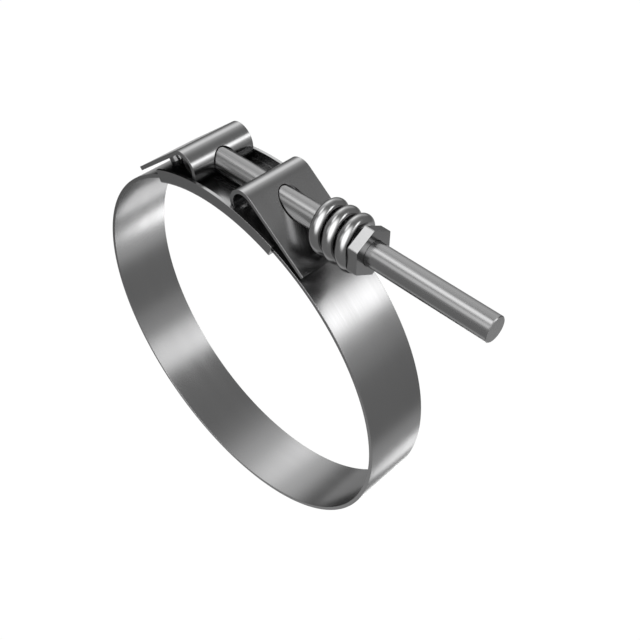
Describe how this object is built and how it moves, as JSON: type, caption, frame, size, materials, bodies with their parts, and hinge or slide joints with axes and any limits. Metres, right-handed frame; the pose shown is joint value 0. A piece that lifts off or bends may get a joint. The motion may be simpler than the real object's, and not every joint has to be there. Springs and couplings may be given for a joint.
{
  "type": "t bolt clamp",
  "caption": "Spring-loaded T-bolt hose clamp: a looped steel band with a bridge under its gap, closed by a T-bolt, a coil spring and a hexagon nut.",
  "frame": {"origin": "centre of the hose that the clamp holds, at the middle of the band's width", "axes": "+X along the bolt towards its free end, +Y along the hose, +Z from the hose towards the bolt"},
  "size_m": [0.132, 0.0212, 0.1199],
  "materials": {
    "band_steel": "satin rolled stainless strip",
    "bridge_steel": "satin rolled stainless strip",
    "bolt_steel": "smooth drawn steel, satin",
    "spring_steel": "smooth drawn wire, glossy",
    "nut_steel": "smooth machined steel, satin"
  },
  "bodies": {
    "clamp": {"band": "band_steel", "bridge": "bridge_steel"},
    "t_bolt": {"t_bolt": "bolt_steel"},
    "spring": {"spring": "spring_steel"},
    "nut": {"nut": "nut_steel"}
  },
  "joints": [
    {"name": "t_bolt_swing", "type": "hinge", "parent": "clamp", "child": "t_bolt", "pos_m": [-0.0112, 0, 0.05821], "axis": [0, 1, 0], "range_deg": [-0.4, 0.25]},
    {"name": "spring_squeeze", "type": "slide", "parent": "t_bolt", "child": "spring", "axis": [1, 0, 0], "range_m": [-0.0011, 0], "deforming": ["spring"]},
    {"name": "nut_turn", "type": "hinge", "parent": "spring", "child": "nut", "pos_m": [0.0436, 0, 0.05821], "axis": [1, 0, 0], "range_deg": [-440, 0]}
  ],
  "couplings": [
    {"joint": "nut_turn", "follows": "spring_squeeze", "rad_per_m": 6926.4}
  ]
}
